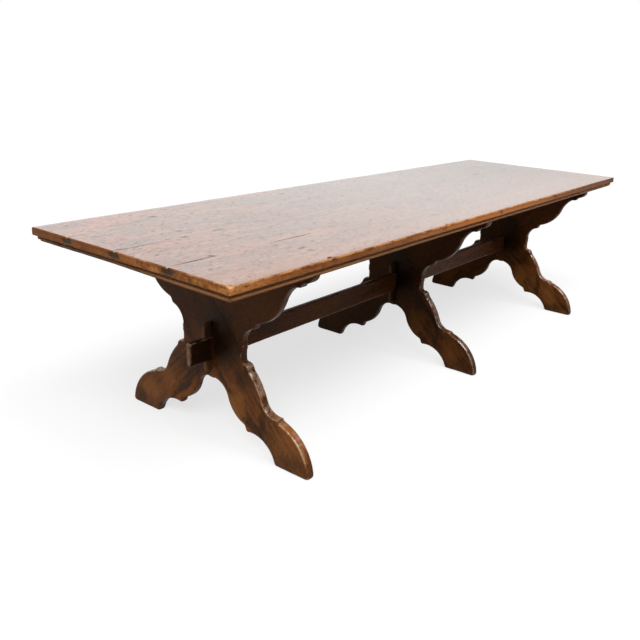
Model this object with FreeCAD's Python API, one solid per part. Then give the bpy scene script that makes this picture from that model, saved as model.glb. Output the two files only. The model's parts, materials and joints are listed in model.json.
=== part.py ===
import FreeCAD, Part
import math
import os

# Refectory table: a plank top on three scrolled trestles, tied by one stretcher that tapered keys lock.
# X runs along the table, -X is the near end. -Y is the front. Z is up, with the floor at 0.
# Sides of a trestle count from its middle, heights from the floor, drops from the top of its boards.
# A rise is how far an arc stands off its chord. A smooth arc carries on from the step before it.
# A reach is a share of the way out from the waist of a trestle to the end of its bearer.

# Whole table
table_length = 3070.0
table_width = 962.0
table_height = 765.0

# Planks of the top
plank_thick = 27.0
front_joint_y = -225.0
middle_joint_y = 20.0
back_joint_y = 270.0
plank_arris = 5.0
plank_corner = 6.0
seam_arris = 0.8

# Loose tongues in the plank joints
tongue_width = 40.0
tongue_thick = 15.0
tongue_slack = 0.5
tongue_recess = 1.0

# Lower strip round the edge of the top
moulding_height = 22.0
moulding_width = 42.0
moulding_setback = 13.0
moulding_nose = 7.0
quirk_height = 5.0
quirk_depth = 8.0

# Cross battens under the planks
batten_width = 110.0
batten_end_gap = 1.0

# Nails through the battens into the planks
nail_shank = 4.0
nail_grip = 14.0
nail_head = 11.0
nail_head_thick = 3.0
nail_slack = 0.3
nail_edge = 20.0
nail_margin = 30.0

# Boards of the trestles
end_overhang = 380.0
board_thick = 36.0
board_arris = 3.0

# Crossing of the two boards
waist_half = 150.0
crossing_height = 394.0
low_crotch = 238.0
high_crotch_drop = 110.0
waist_above = 5.0
waist_below = 56.0

# Arch between the feet
arch_side = 80.0
arch_height = 186.0
arch_rise = 17.5
knee_reach = 0.048
knee_height = 103.0
knee_step_reach = 0.073
knee_step_height = 79.0
heel_reach = 0.51
heel_rise = 32.5

# Foot
toe_radius = 9.0
toe_rise = 34.0
instep_reach = 0.55
instep_height = 167.0
instep_step = 10.0

# Leg
shin_reach = 0.32
shin_height = 216.0
shin_rise = 15.5
ankle_reach = 0.144
ankle_step = 8.0
collar_reach = 0.115
collar_tall = 24.0
collar_shelf = 15.0
collar_rise = 7.0

# Arm
arm_inner = 150.0
arm_reach = 0.772
arm_root_rise = 8.0
belly_reach = 0.59
belly_drop = 66.0
cusp_reach = 0.21
cusp_drop = 171.0
cusp_step = 20.0
cusp_inset = 8.0
hollow_rise = 18.5

# Bearer on each trestle
bearer_inset = 17.0
bearer_height = 53.0
bearer_thick = 44.0
bearer_arris = 2.5
nose_length = 40.0
nose_rise = 11.0
lobe_height = 18.0
lobe_step = 5.0
lobe_length = 12.0
lobe_rise = 4.0

# Tenons of the arms in the bearer
arm_tenon_thick = 12.0
arm_tenon_inset = 45.0
arm_tenon_height = 34.0
joint_slack = 0.3

# Square pegs between the bearers and the battens
peg_side = 16.0
peg_in_bearer = 26.0
peg_in_batten = 13.0
peg_offset = 95.0
peg_slack = 0.3

# Stretcher
stretcher_bottom = 311.0
stretcher_height = 85.0
stretcher_thick = 28.0
stretcher_chamfer = 2.0
tenon_thick = 23.0
tenon_projection = 104.0

# Keys
key_thick = 14.0
key_width = 33.0
key_taper = 0.045
key_above = 56.0
end_key_below = 41.0
middle_key_below = 54.0
key_crown = 12.0
key_brow = 22.0
key_brow_rise = 4.5
key_clearance = 0.3
key_relief = 6.0
key_arris = 1.5

# Levels and lines that follow from the sizes
plank_bottom = table_height - plank_thick
bearer_top = plank_bottom - moulding_height
board_top = bearer_top - bearer_height
half_length = table_length / 2.0
trestle_spacing = half_length - end_overhang
half_width = table_width / 2.0
half_bearer = half_width - bearer_inset
full_reach = half_bearer - waist_half
knee_side = waist_half + knee_reach * full_reach
knee_step_side = waist_half + knee_step_reach * full_reach
heel_side = waist_half + heel_reach * full_reach
instep_side = waist_half + instep_reach * full_reach
shin_side = waist_half + shin_reach * full_reach
ankle_side = waist_half + ankle_reach * full_reach
collar_side = waist_half + collar_reach * full_reach
arm_outer = waist_half + arm_reach * full_reach
belly_side = waist_half + belly_reach * full_reach
cusp_side = waist_half + cusp_reach * full_reach
half_board = board_thick / 2.0
half_batten = half_width - moulding_setback - moulding_width - batten_end_gap
stretcher_top = stretcher_bottom + stretcher_height
stretcher_half = trestle_spacing + half_board + tenon_projection
tongue_low = plank_bottom + (plank_thick - tongue_thick) / 2.0
high_crotch = board_top - high_crotch_drop
collar_top = crossing_height - waist_below
collar_height = collar_top - collar_tall
ankle_height = collar_height - ankle_step
trestle_places = {"near": -trestle_spacing, "middle": 0.0, "far": trestle_spacing}
plank_joints = {"front": front_joint_y, "middle": middle_joint_y, "back": back_joint_y}

# Lengths below this one count as nothing when edges are picked
tiny = 0.01

smooth = "smooth"

along_x = FreeCAD.Vector(1, 0, 0)
along_y = FreeCAD.Vector(0, 1, 0)
along_z = FreeCAD.Vector(0, 0, 1)


def spot(side, height):
    # A place on the plane of a trestle. The side counts towards the front, which is -Y.
    return FreeCAD.Vector(0, -side, height)


def smooth_rise(before, chord, normal):
    # The rise that makes an arc start in the direction in which the edge before it ends.
    heading = before.tangentAt(before.LastParameter)
    turn = math.atan2(heading.cross(chord).dot(normal), heading.dot(chord))
    return chord.Length / 2.0 * math.tan(turn / 2.0)


def outline(normal, start, steps):
    # Each step is an end and a rise. Without a rise it is a straight line, else an arc.
    edges = []
    here = start
    for end, rise in steps:
        chord = end - here
        if rise == smooth:
            rise = smooth_rise(edges[-1], chord, normal)
        if rise:
            middle = (here + end) * 0.5 + chord.cross(normal).normalize() * rise
            edges.append(Part.Arc(here, middle, end).toShape())
        else:
            edges.append(Part.LineSegment(here, end).toShape())
        here = end
    return Part.Face(Part.Wire(edges))


def slab(face, normal, thick):
    # A flat board, centred on the plane of its outline.
    board = face.extrude(normal * thick)
    board.translate(normal * (-thick / 2.0))
    return board


def box(low, high):
    size = FreeCAD.Vector(*high) - FreeCAD.Vector(*low)
    return Part.makeBox(size.x, size.y, size.z, FreeCAD.Vector(*low))


def square_pin(foot, half, length):
    # An upright square bar, standing on its foot.
    return box((foot.x - half, foot.y - half, foot.z), (foot.x + half, foot.y + half, foot.z + length))


def mirrored(shape, normal):
    return shape.mirror(FreeCAD.Vector(0, 0, 0), normal)


def picked(shape, test):
    return [edge for edge in shape.Edges if test(edge.BoundBox)]


def save(name, shape):
    shape.exportStep(os.path.join("parts", name + ".step"))


def rounded_toe():
    # Where the toe leaves the floor, and where its rounding meets the arc of the foot.
    tip = spot(half_bearer, toe_radius)
    chord = spot(instep_side, instep_height) - tip
    radius = (chord.Length ** 2 / 4.0 + toe_rise ** 2) / (2.0 * toe_rise)
    centre = tip + chord * 0.5 + chord.cross(along_x).normalize() * (radius - toe_rise)
    inward = math.sqrt((radius - toe_radius) ** 2 - (centre.z - toe_radius) ** 2)
    middle = FreeCAD.Vector(0, centre.y - inward, toe_radius)
    return FreeCAD.Vector(0, middle.y, 0), centre + (middle - centre).normalize() * radius


def trestle_board_face():
    # One board of an X: the leg on the front side, the arm on the back side.
    arch = [
        (spot(arch_side, arch_height), arch_rise),
        (spot(knee_side, knee_height), smooth),
        (spot(knee_step_side, knee_step_height), 0),
        (spot(heel_side, 0), heel_rise),
    ]
    sole_end, toe_end = rounded_toe()
    foot = [
        (sole_end, 0),
        (toe_end, smooth),
        (spot(instep_side, instep_height), smooth),
        (spot(instep_side, instep_height + instep_step), 0),
    ]
    leg = [
        (spot(shin_side, shin_height), shin_rise),
        (spot(ankle_side, ankle_height), smooth),
        (spot(collar_side, collar_height), 0),
        (spot(waist_half + collar_shelf, collar_top), -collar_rise),
        (spot(waist_half, collar_top), 0),
        (spot(waist_half, crossing_height), 0),
        (spot(0, high_crotch), 0),
    ]
    arm = [
        (spot(-arm_inner, board_top), 0),
        (spot(-arm_outer, board_top), 0),
        (spot(-belly_side, board_top - belly_drop), arm_root_rise),
        (spot(-cusp_side, board_top - cusp_drop), smooth),
        (spot(cusp_inset - cusp_side, board_top - cusp_drop - cusp_step), 0),
        (spot(-waist_half, crossing_height + waist_above), hollow_rise),
        (spot(-waist_half, crossing_height), 0),
        (spot(0, low_crotch), 0),
    ]
    return outline(along_x, spot(0, low_crotch), arch + foot + leg + arm)


def crossing_face():
    # The lozenge where the two boards of an X cross.
    steps = [
        (spot(waist_half, crossing_height), 0),
        (spot(0, high_crotch), 0),
        (spot(-waist_half, crossing_height), 0),
        (spot(0, low_crotch), 0),
    ]
    return outline(along_x, spot(0, low_crotch), steps)


def free_edge(bounds):
    # An edge of a board's face in the open, so neither in the crossing nor on the floor or the bearer.
    on_face = bounds.XLength < tiny
    across = abs(bounds.YLength - waist_half) < tiny
    in_crossing = across and bounds.ZMin > low_crotch - tiny and bounds.ZMax < high_crotch + tiny
    seated = bounds.ZMax < tiny or bounds.ZMin > board_top - tiny
    return on_face and not in_crossing and not seated


def trestle_boards(mortise):
    # The two boards of an X, each cut away over half its thickness where they cross.
    lozenge = crossing_face()
    rear_half = lozenge.extrude(along_x * half_board)
    front_half = lozenge.extrude(along_x * -half_board)
    whole = slab(trestle_board_face(), along_x, board_thick)
    whole = whole.makeChamfer(board_arris, picked(whole, free_edge))
    tenon = box((-arm_tenon_thick / 2.0, arm_inner + arm_tenon_inset, board_top),
                (arm_tenon_thick / 2.0, arm_outer - arm_tenon_inset, board_top + arm_tenon_height))
    whole = whole.fuse(tenon)
    front = whole.cut(rear_half)
    rear = mirrored(whole, along_y).cut(front_half)
    return front.cut(mortise), rear.cut(mortise)


def trestle_bearer():
    # A rail along Y with stepped and rounded ends, mortised for the arms and bored for the pegs.
    step = half_bearer - nose_length
    lobe_top = board_top + lobe_height
    steps = [
        (spot(half_bearer, bearer_top), 0),
        (spot(step, lobe_top), nose_rise),
        (spot(step, lobe_top - lobe_step), 0),
        (spot(step - lobe_length, board_top), -lobe_rise),
        (spot(0, board_top), 0),
        (spot(0, bearer_top), 0),
    ]
    front = slab(outline(along_x, spot(0, bearer_top), steps), along_x, bearer_thick)
    bearer = front.fuse(mirrored(front, along_y)).removeSplitter()
    bearer = bearer.makeChamfer(bearer_arris, picked(bearer, low_bearer_edge))
    across = arm_tenon_thick / 2.0 + joint_slack
    tenon_start = arm_inner + arm_tenon_inset
    tenon_end = arm_outer - arm_tenon_inset
    mortise = box((-across, tenon_start - joint_slack, board_top),
                  (across, tenon_end + joint_slack, board_top + arm_tenon_height + joint_slack))
    hole = square_pin(FreeCAD.Vector(0, peg_offset, bearer_top - peg_in_bearer),
                      peg_side / 2.0 + peg_slack, peg_in_bearer)
    for cut in (mortise, hole):
        bearer = bearer.cut(cut).cut(mirrored(cut, along_y))
    return bearer


def low_bearer_edge(bounds):
    # An edge along the shaped outline of a bearer, but not along its top.
    return bounds.XLength < tiny and bounds.ZMin < bearer_top - tiny


def key_outer(height):
    # Distance of a key's sloping face from the trestle, at a height.
    return key_clearance + key_width + (height - stretcher_top) * key_taper


def key(below):
    # A key on the +X side of a face at X = 0, with a flat crown and a rounded brow.
    tail = stretcher_bottom - below
    head = stretcher_top + key_above
    brow = head - key_brow
    steps = [
        (FreeCAD.Vector(key_outer(tail), 0, tail), 0),
        (FreeCAD.Vector(key_outer(brow), 0, brow), 0),
        (FreeCAD.Vector(key_clearance + key_crown, 0, head), -key_brow_rise),
        (FreeCAD.Vector(key_clearance, 0, head), 0),
        (FreeCAD.Vector(key_clearance, 0, tail), 0),
    ]
    body = slab(outline(along_y, FreeCAD.Vector(key_clearance, 0, tail), steps), along_y, key_thick)
    return body.makeChamfer(key_arris, picked(body, open_key_edge))


def open_key_edge(bounds):
    # An edge round the cheeks of a key, but not where it lies along the trestle.
    return bounds.YLength < tiny and bounds.XMax > key_clearance + tiny


def key_slot():
    # The slot for a key on the +X side of a face at X = 0, sloped as the key and relieved behind the face.
    across = key_thick + 2 * key_clearance
    steps = [
        (FreeCAD.Vector(key_outer(stretcher_bottom) + key_clearance, 0, stretcher_bottom), 0),
        (FreeCAD.Vector(key_outer(stretcher_top) + key_clearance, 0, stretcher_top), 0),
        (FreeCAD.Vector(-key_relief, 0, stretcher_top), 0),
        (FreeCAD.Vector(-key_relief, 0, stretcher_bottom), 0),
    ]
    return slab(outline(along_y, FreeCAD.Vector(-key_relief, 0, stretcher_bottom), steps), along_y, across)


def at_face(shape, face_x, side):
    # Turns a shape made for a +X face to the side asked for, and moves it to the face.
    placed = shape.copy() if side > 0 else mirrored(shape, along_x)
    placed.translate(along_x * face_x)
    return placed


def key_places():
    # Name, face that the key lies along, side of that face, and length below the stretcher.
    return [
        ("near_key", -trestle_spacing - half_board, -1, end_key_below),
        ("middle_near_key", -half_board, -1, middle_key_below),
        ("middle_far_key", half_board, 1, middle_key_below),
        ("far_key", trestle_spacing + half_board, 1, end_key_below),
    ]


def stretcher():
    # A plank on edge with a tenon shouldered on both cheeks at each end, slotted for the keys.
    shoulder = trestle_spacing - half_board
    body = box((-shoulder, -stretcher_thick / 2.0, stretcher_bottom),
               (shoulder, stretcher_thick / 2.0, stretcher_top))
    body = body.makeChamfer(stretcher_chamfer, picked(body, lambda bounds: bounds.XLength > shoulder))
    tenons = box((-stretcher_half, -tenon_thick / 2.0, stretcher_bottom),
                 (stretcher_half, tenon_thick / 2.0, stretcher_top))
    body = body.fuse(tenons)
    for name, face_x, side, below in key_places():
        body = body.cut(at_face(key_slot(), face_x, side))
    return body.removeSplitter()


def stretcher_mortise(thick):
    # The hole that a trestle has for the stretcher, or for its tenon, which rests on the hole's floor.
    half = thick / 2.0 + joint_slack
    return box((-board_thick, -half, stretcher_bottom), (board_thick, half, stretcher_top + joint_slack))


def plank(low_y, high_y):
    # A plank of the top, grooved where it meets another and rounded where it meets the air.
    body = box((-half_length, low_y, plank_bottom), (half_length, high_y, table_height))
    inside = half_width - tiny

    def corner(bounds):
        return bounds.ZLength > tiny and (bounds.YMax < -inside or bounds.YMin > inside)

    def seam(bounds):
        return bounds.ZMin > table_height - tiny and bounds.YLength < tiny and abs(bounds.YMin) < inside

    def arris(bounds):
        return bounds.ZMin > table_height - tiny and not seam(bounds)

    corners = picked(body, corner)
    if corners:
        body = body.makeFillet(plank_corner, corners)
    body = body.makeFillet(plank_arris, picked(body, arris))
    body = body.makeChamfer(seam_arris, picked(body, seam))
    reach = (tongue_width + tongue_slack) / 2.0
    for joint in (low_y, high_y):
        if abs(joint) < inside:
            body = body.cut(box((-half_length, joint - reach, tongue_low),
                                (half_length, joint + reach, tongue_low + tongue_thick + tongue_slack)))
    return body


def tongue(joint):
    half = half_length - tongue_recess
    return box((-half, joint - tongue_width / 2.0, tongue_low),
               (half, joint + tongue_width / 2.0, tongue_low + tongue_thick))


def moulding(length):
    # A strip along X with its outer edge on Y = 0 and its foot at Z = 0, mitred at both ends.
    half = length / 2.0
    lip = moulding_height - quirk_height
    section = [
        (FreeCAD.Vector(0, moulding_width, 0), 0),
        (FreeCAD.Vector(0, moulding_nose, 0), 0),
        (FreeCAD.Vector(0, 0, moulding_nose), moulding_nose * (1.0 - 0.5 ** 0.5)),
        (FreeCAD.Vector(0, 0, lip), 0),
        (FreeCAD.Vector(0, quirk_depth, lip), 0),
        (FreeCAD.Vector(0, quirk_depth, moulding_height), 0),
        (FreeCAD.Vector(0, moulding_width, moulding_height), 0),
    ]
    profile = outline(along_x, FreeCAD.Vector(0, moulding_width, moulding_height), section)
    strip = slab(profile, along_x, length)
    plan = [
        (FreeCAD.Vector(half, 0, 0), 0),
        (FreeCAD.Vector(half - moulding_width, moulding_width, 0), 0),
        (FreeCAD.Vector(moulding_width - half, moulding_width, 0), 0),
        (FreeCAD.Vector(-half, 0, 0), 0),
    ]
    mitred = outline(along_z, FreeCAD.Vector(-half, 0, 0), plan).extrude(along_z * moulding_height)
    return strip.common(mitred)


def mouldings():
    along = half_length - moulding_setback
    across = half_width - moulding_setback
    sides = [
        ("front", 2 * along, 0, FreeCAD.Vector(0, -across, bearer_top)),
        ("far", 2 * across, 90, FreeCAD.Vector(along, 0, bearer_top)),
        ("back", 2 * along, 180, FreeCAD.Vector(0, across, bearer_top)),
        ("near", 2 * across, 270, FreeCAD.Vector(-along, 0, bearer_top)),
    ]
    made = {}
    for name, length, turn, place in sides:
        strip = moulding(length)
        strip.rotate(FreeCAD.Vector(0, 0, 0), along_z, turn)
        strip.translate(place)
        made["edge_moulding_" + name] = strip
    return made


def nail_places(x):
    # Two nails in each plank, on either side of the bearer and clear of the tongues.
    edges = [-half_batten] + list(plank_joints.values()) + [half_batten]
    offset = batten_width / 2.0 - nail_edge
    inset = tongue_width / 2.0 + nail_margin
    places = []
    for low, high in zip(edges[:-1], edges[1:]):
        places.append(FreeCAD.Vector(x - offset, low + inset, bearer_top))
        places.append(FreeCAD.Vector(x + offset, high - inset, bearer_top))
    return places


def nails(slack):
    # Every cut nail, its head let into the underside of a batten, or with a slack the holes for them.
    made = []
    for x in trestle_places.values():
        for place in nail_places(x):
            head = square_pin(place, nail_head / 2.0 + slack, nail_head_thick)
            shank = square_pin(place, nail_shank / 2.0 + slack, moulding_height + nail_grip + slack)
            made.append(head.fuse(shank).removeSplitter())
    return Part.makeCompound(made)


def batten(x):
    body = box((x - batten_width / 2.0, -half_batten, bearer_top),
               (x + batten_width / 2.0, half_batten, plank_bottom))
    for side in (-peg_offset, peg_offset):
        body = body.cut(square_pin(FreeCAD.Vector(x, side, bearer_top),
                                   peg_side / 2.0 + peg_slack, peg_in_batten + peg_slack))
    return body


def pegs():
    made = []
    for x in trestle_places.values():
        for side in (-peg_offset, peg_offset):
            made.append(square_pin(FreeCAD.Vector(x, side, bearer_top - peg_in_bearer),
                                   peg_side / 2.0, peg_in_bearer + peg_in_batten))
    return Part.makeCompound(made)


def build():
    os.makedirs("parts", exist_ok=True)

    nail_holes = nails(nail_slack)
    planks = {
        "plank_front": plank(-half_width, front_joint_y),
        "plank_front_middle": plank(front_joint_y, middle_joint_y),
        "plank_back_middle": plank(middle_joint_y, back_joint_y),
        "plank_back": plank(back_joint_y, half_width),
    }
    for name, shape in planks.items():
        save(name, shape.cut(nail_holes))
    for name, joint in plank_joints.items():
        save("tongue_" + name, tongue(joint))
    for name, shape in mouldings().items():
        save(name, shape)

    for name, x in trestle_places.items():
        through = stretcher_thick if name == "middle" else tenon_thick
        front, rear = trestle_boards(stretcher_mortise(through))
        pieces = {"front_board": front, "rear_board": rear, "bearer": trestle_bearer()}
        for piece, shape in pieces.items():
            shape.translate(along_x * x)
            save(name + "_trestle_" + piece, shape)
        save("cross_batten_" + name, batten(x).cut(nail_holes))

    save("batten_nails", nails(0.0))
    save("locating_pegs", pegs())
    save("stretcher", stretcher())
    for name, face_x, side, below in key_places():
        save(name, at_face(key(below), face_x, side))


build()
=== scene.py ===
import json
import math

import bmesh
import bpy
from mathutils import Matrix, Vector, noise


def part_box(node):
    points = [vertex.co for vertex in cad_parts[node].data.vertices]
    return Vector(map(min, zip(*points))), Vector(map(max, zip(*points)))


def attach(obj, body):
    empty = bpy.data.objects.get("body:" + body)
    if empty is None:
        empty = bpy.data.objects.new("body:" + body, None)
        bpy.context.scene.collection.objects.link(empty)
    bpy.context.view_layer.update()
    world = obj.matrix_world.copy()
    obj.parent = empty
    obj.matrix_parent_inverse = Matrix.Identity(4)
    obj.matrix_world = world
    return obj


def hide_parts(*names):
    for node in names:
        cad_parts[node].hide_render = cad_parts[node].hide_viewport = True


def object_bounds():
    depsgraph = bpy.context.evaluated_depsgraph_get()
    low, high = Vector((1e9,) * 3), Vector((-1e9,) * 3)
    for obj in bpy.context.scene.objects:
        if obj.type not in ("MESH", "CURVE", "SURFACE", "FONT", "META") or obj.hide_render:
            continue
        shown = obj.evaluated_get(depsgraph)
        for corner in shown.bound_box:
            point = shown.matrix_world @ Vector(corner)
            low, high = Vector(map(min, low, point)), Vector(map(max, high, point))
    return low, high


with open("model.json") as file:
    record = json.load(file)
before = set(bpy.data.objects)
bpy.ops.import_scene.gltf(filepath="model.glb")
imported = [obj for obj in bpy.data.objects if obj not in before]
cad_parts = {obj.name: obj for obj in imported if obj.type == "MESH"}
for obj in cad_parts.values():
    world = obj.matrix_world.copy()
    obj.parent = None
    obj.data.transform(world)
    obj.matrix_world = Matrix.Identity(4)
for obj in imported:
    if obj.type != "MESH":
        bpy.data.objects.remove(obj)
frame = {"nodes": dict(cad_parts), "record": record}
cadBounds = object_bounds()
nodes = frame["nodes"]
bodyOfNode = {}
for bodyName, members in frame["record"]["behaviour"]["bodies"].items():
    for member in members:
        bodyOfNode[member] = bodyName
print("frame loaded:", len(nodes), "pieces of the table")


# colours are written as on a screen, 0 to 255
def colour(red, green, blue):
    linear = []
    for part in (red, green, blue):
        share = part / 255.0
        linear.append(share / 12.92 if share <= 0.04045 else ((share + 0.055) / 1.055) ** 2.4)
    return (*linear, 1.0)


def grey(level):
    return (level, level, level, 1.0)


def held(value):
    # kept between 0 and 1
    return min(max(value, 0.0), 1.0)


# node helpers: each adds one node
def addNode(tree, kind, inputs, **options):
    node = tree.nodes.new(kind)
    for option, value in options.items():
        setattr(node, option, value)
    for key, value in inputs.items():
        if isinstance(value, bpy.types.NodeSocket):
            tree.links.new(value, node.inputs[key])
        else:
            node.inputs[key].default_value = value
    return node


def calc(tree, operation, first, second=0.0, third=0.0):
    node = addNode(tree, "ShaderNodeMath", {0: first, 1: second, 2: third}, operation=operation)
    return node.outputs[0]


def vectorCalc(tree, operation, first, second=(0.0, 0.0, 0.0)):
    return addNode(tree, "ShaderNodeVectorMath", {0: first, 1: second}, operation=operation)


def remap(tree, value, low, high, newLow=0.0, newHigh=1.0):
    inputs = {"Value": value, "From Min": low, "From Max": high, "To Min": newLow, "To Max": newHigh}
    return addNode(tree, "ShaderNodeMapRange", inputs, interpolation_type="SMOOTHSTEP").outputs[0]


def blendColour(tree, share, first, second):
    node = addNode(tree, "ShaderNodeMix", {0: share, 6: first, 7: second}, data_type="RGBA")
    return node.outputs[2]


def stretch(tree, vector, scale, place=(0.0, 0.0, 0.0)):
    inputs = {"Vector": vector, "Location": place, "Scale": scale}
    return addNode(tree, "ShaderNodeMapping", inputs).outputs[0]


def cloud(tree, vector, scale, detail=4.0, rough=0.65, bend=0.0):
    inputs = {"Vector": vector, "Scale": scale, "Detail": detail, "Roughness": rough, "Distortion": bend}
    return addNode(tree, "ShaderNodeTexNoise", inputs).outputs["Fac"]


def attribute(tree, name):
    return addNode(tree, "ShaderNodeAttribute", {}, attribute_name=name).outputs["Fac"]


def emptyMaterial(name):
    material = bpy.data.materials.new(name)
    material.use_nodes = True
    material.node_tree.nodes.clear()
    return material


# patterns of the grain: place in the noise, detail, roughness, bend
grainNoise = {
    "figure": ((0.0, 0.0, 0.0), 3.0, 0.55, 0.4),
    "band": ((0.0, 0.0, 0.0), 5.0, 0.62, 0.6),
    "streak": ((5.7, 3.9, 8.2), 4.0, 0.55, 0.5),
    "fibre": ((0.0, 0.0, 0.0), 4.0, 0.6, 0.0),
    "pore": ((3.1, 1.7, 0.4), 2.0, 0.5, 0.0),
    "pit": ((2.4, 6.6, 1.9), 2.0, 0.5, 0.0),
    "patch": ((7.3, 2.2, 5.1), 4.0, 0.55, 0.0),
    "stain": ((1.2, 9.4, 3.3), 6.0, 0.65, 0.3),
    "grit": ((4.8, 0.9, 7.7), 4.0, 0.7, 0.0),
}

# tints laid over the wood in turn: pattern, where it starts, where it is full, share, colour
tintLayers = (
    ("patch", 0.45, 0.68, "warmShare", "warm"),
    ("stain", 0.50, 0.68, "stainShare", "stain"),
    ("streak", 0.53, 0.68, "goldShare", "gold"),
    ("streak", 0.45, 0.34, "streakShare", "streak"),
    ("pore", 0.60, 0.72, "poreShare", "poreColour"),
    ("grit", 0.50, 0.70, "gritShare", "streak"),
    ("grit", 0.46, 0.30, "gritShare", "gold"),
    ("pit", 0.59, 0.69, "pitShare", "poreColour"),
)

# where an effect starts and where it is full, some with what it gives at both
effectReach = {
    "endTurn": (0.75, 0.97),
    "endPatch": (0.3, 0.6, 0.45, 1.0),
    "holeCoat": (0.1, 0.9, 1.0, 0.25),
    "wearAndSheenSpot": (0.3, 0.62),
    "wearAndSheen": (0.15, 0.75),
    "grimeAndShade": (0.1, 0.8),
}

# what rises and sinks in the surface of the wood, and how deep it all is
relief = {"fibre": 0.5, "pore": -0.6, "pit": -1.2, "band": 0.8, "patchy": 0.5, "depth": 0.0012}

# a mark is full as far as its core, and its outline wobbles
markLook = {"core": 0.25, "wobble": (30.0, 90.0, 30.0)}


def ellipseMark(tree, vector, mark, axes):
    # a soft ellipse at one place, spread along two of the axes
    centre = [0.0, 0.0, 0.0]
    scale = [0.0, 0.0, 0.0]
    for axis, middle, reach in zip(axes, mark[:2], mark[2:4]):
        centre[axis] = middle
        scale[axis] = 1.0 / reach
    shifted = vectorCalc(tree, "SUBTRACT", vector, centre).outputs[0]
    scaled = vectorCalc(tree, "MULTIPLY", shifted, scale).outputs[0]
    away = vectorCalc(tree, "LENGTH", scaled).outputs["Value"]
    return remap(tree, away, markLook["core"], 1.0, mark[4], 0.0)


def joinedMarks(tree, place, marks, shake, axes):
    wobble = cloud(tree, stretch(tree, place, markLook["wobble"]), 1.0)
    push = calc(tree, "MULTIPLY_ADD", wobble, shake, -0.5 * shake)
    shaken = vectorCalc(tree, "ADD", place, push).outputs[0]
    mask = ellipseMark(tree, shaken, marks[0], axes)
    for mark in marks[1:]:
        mask = calc(tree, "MAXIMUM", mask, ellipseMark(tree, shaken, mark, axes))
    return mask


def drawGrain(tree, along, look):
    # the grain lies along X after the turn, so every pattern is drawn out that way
    grain = {}
    for pattern, (part, detail, rough, bend) in grainNoise.items():
        drawn = stretch(tree, along, look[pattern + "Stretch"], part)
        grain[pattern] = cloud(tree, drawn, 1.0, detail, rough, bend)
    return grain


def grainTone(tree, grain, look):
    # 0 in the dark wood, 1 in the pale wood
    tone = calc(tree, "MULTIPLY", grain["figure"], look["figureShare"])
    tone = calc(tree, "MULTIPLY_ADD", grain["band"], look["bandShare"], tone)
    tone = calc(tree, "MULTIPLY_ADD", grain["fibre"], look["fibreShare"], tone)
    middle = 0.5 * (look["bandShare"] + look["figureShare"] + look["fibreShare"])
    return remap(tree, tone, middle - look["toneSpread"], middle + look["toneSpread"])


def endGrain(tree, turn, patchy, look):
    # the faces that are cut across the fibres
    aboutX, aboutY, aboutZ = (Matrix.Rotation(angle, 3, axis) for angle, axis in zip(turn, "XYZ"))
    grainWay = (aboutZ @ aboutY @ aboutX).inverted() @ Vector((1.0, 0.0, 0.0))
    facing = addNode(tree, "ShaderNodeNewGeometry", {}).outputs["Normal"]
    across = vectorCalc(tree, "DOT_PRODUCT", facing, tuple(grainWay)).outputs["Value"]
    across = calc(tree, "ABSOLUTE", across)
    mask = remap(tree, across, *effectReach["endTurn"], 0.0, look["endShare"])
    return calc(tree, "MULTIPLY", mask, remap(tree, patchy, *effectReach["endPatch"]))


def woodRelief(tree, grain, masks, patchy, look):
    height = calc(tree, "MULTIPLY", masks["pore"], relief["pore"])
    height = calc(tree, "MULTIPLY_ADD", grain["fibre"], relief["fibre"], height)
    height = calc(tree, "MULTIPLY_ADD", masks["pit"], relief["pit"], height)
    height = calc(tree, "MULTIPLY_ADD", grain["band"], relief["band"], height)
    height = calc(tree, "MULTIPLY_ADD", patchy, relief["patchy"], height)
    inputs = {"Height": height, "Strength": look["bump"], "Distance": relief["depth"]}
    return addNode(tree, "ShaderNodeBump", inputs).outputs[0]


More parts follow.
